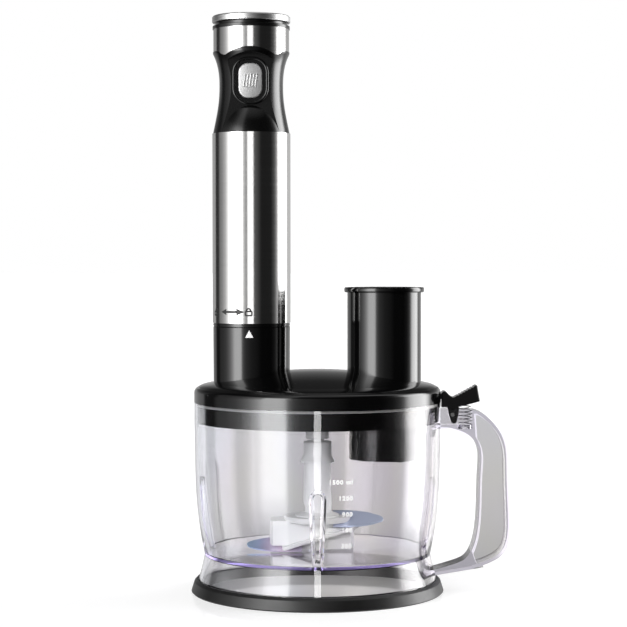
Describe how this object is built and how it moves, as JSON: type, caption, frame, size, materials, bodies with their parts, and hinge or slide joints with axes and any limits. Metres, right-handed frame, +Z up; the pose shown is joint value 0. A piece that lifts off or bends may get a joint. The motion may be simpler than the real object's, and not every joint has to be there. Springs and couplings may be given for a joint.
{
  "type": "immersion blender",
  "caption": "Stick-blender motor unit locked into the geared lid of a clear bowl with blade tower, feed chute, pusher and latched handle.",
  "frame": {"origin": "the bowl's axis on the plane of the base ring's underside, which rests on the table", "axes": "+Z up along the bowl's axis, +X towards the bowl's handle, -Y to the front, where the power button is"},
  "size_m": [0.2447, 0.1944, 0.4425],
  "materials": {
    "clear_plastic": "clear, faint violet tint",
    "black_gloss": "polished black",
    "black_satin": "satin black",
    "black_rubber": "matt black",
    "brushed_steel": "brushed round the barrel",
    "satin_steel": "spun round the dial, satin",
    "steel": "polished",
    "blade_steel": "polished, ground edge",
    "silver_plastic": "silver satin",
    "white_plastic": "translucent white",
    "gear_nylon": "moulded",
    "bronze": "sintered",
    "brass": "bright",
    "copper": "enamelled wire",
    "lamination": "stacked sheet",
    "carbon": "graphite",
    "frame_plastic": "glass-filled",
    "board": "solder mask",
    "silicone": "soft seal"
  },
  "bodies": {
    "bowl": {"bowl": "clear_plastic", "bowl_handle": "clear_plastic", "base_ring": "black_rubber", "spindle_pin": "steel", "latch_pin": "steel", "latch_spring": "steel"},
    "latch": {"latch_lever": "black_gloss"},
    "blades": {"blade_tower": "white_plastic", "upper_blade": "blade_steel", "lower_blade": "blade_steel", "blade_bush": "bronze"},
    "lid": {"lid_shell": "black_gloss", "coupling_collar": "black_gloss", "lid_gasket": "silicone", "gear_cover": "black_satin", "gear_cover_screws": "steel", "idler_axle": "steel", "input_bush": "bronze", "output_bush": "bronze"},
    "input_gear": {"input_shaft": "steel", "input_pinion": "steel"},
    "idler": {"idler_gear": "gear_nylon"},
    "output": {"output_gear": "gear_nylon", "output_shaft": "white_plastic"},
    "pusher": {"pusher": "black_gloss"},
    "motor_unit": {"bayonet_nose": "black_satin", "trim_ring": "black_gloss", "barrel_sleeve": "brushed_steel", "upper_band": "brushed_steel", "grip_shell": "black_satin", "button_bezel": "black_gloss", "top_cap": "black_satin", "cord_gland": "black_rubber", "chassis_front": "frame_plastic", "chassis_rear": "frame_plastic", "lower_bracket": "frame_plastic", "upper_bracket": "frame_plastic", "lower_bearing": "steel", "upper_bearing": "steel", "stator_core": "lamination", "field_coils": "copper", "motor_screws": "steel", "brush_holders": "brass", "carbon_brushes": "carbon", "circuit_board": "board", "microswitch": "carbon", "button_spring": "steel", "dial_potentiometer": "board"},
    "rotor": {"rotor_shaft": "steel", "armature_core": "lamination", "armature_windings": "copper", "commutator": "brass", "cooling_fan": "frame_plastic", "drive_dog": "frame_plastic"},
    "speed_dial": {"speed_dial": "satin_steel"},
    "power_button": {"power_button": "silver_plastic"}
  },
  "joints": [
    {"name": "lid_lift", "type": "slide", "parent": "bowl", "child": "lid", "axis": [0, 0, 1], "range_m": [0, 0.12]},
    {"name": "motor_twist", "type": "hinge", "parent": "lid", "child": "motor_unit", "pos_m": [-0.0505, 0, 0.204], "axis": [0, 0, 1], "range_deg": [0, 60]},
    {"name": "speed_turn", "type": "hinge", "parent": "motor_unit", "child": "speed_dial", "pos_m": [-0.0505, 0, 0.439], "axis": [0, 0, 1], "range_deg": [0, 240]},
    {"name": "button_press", "type": "slide", "parent": "motor_unit", "child": "power_button", "axis": [0, 1, 0], "range_m": [0, 0.0025], "stiffness_N_per_m": 600, "springref_m": -0.001},
    {"name": "rotor_spin", "type": "hinge", "parent": "motor_unit", "child": "rotor", "pos_m": [-0.0505, 0, 0.28], "axis": [0, 0, 1], "continuous": true},
    {"name": "input_spin", "type": "hinge", "parent": "lid", "child": "input_gear", "pos_m": [-0.0505, 0, 0.16], "axis": [0, 0, 1], "continuous": true},
    {"name": "idler_spin", "type": "hinge", "parent": "lid", "child": "idler", "pos_m": [-0.02525, 0.0162, 0.145], "axis": [0, 0, 1], "continuous": true},
    {"name": "output_spin", "type": "hinge", "parent": "lid", "child": "output", "pos_m": [0, 0, 0.14], "axis": [0, 0, 1], "continuous": true},
    {"name": "blade_spin", "type": "hinge", "parent": "bowl", "child": "blades", "pos_m": [0, 0, 0.06], "axis": [0, 0, 1], "continuous": true},
    {"name": "pusher_slide", "type": "slide", "parent": "lid", "child": "pusher", "axis": [0, 0, 1], "range_m": [0, 0.12]},
    {"name": "latch_press", "type": "hinge", "parent": "bowl", "child": "latch", "pos_m": [0.1035, 0, 0.1365], "axis": [0, 1, 0], "range_deg": [0, 11], "stiffness_Nm_per_rad": 0.35, "springref_deg": -11.46, "deforming": ["latch_spring"]}
  ],
  "couplings": [
    {"joint": "input_spin", "follows": "rotor_spin", "ratio": 1},
    {"joint": "idler_spin", "follows": "rotor_spin", "ratio": -0.36364},
    {"joint": "output_spin", "follows": "rotor_spin", "ratio": 0.18182},
    {"joint": "blade_spin", "follows": "rotor_spin", "ratio": 0.18182}
  ]
}
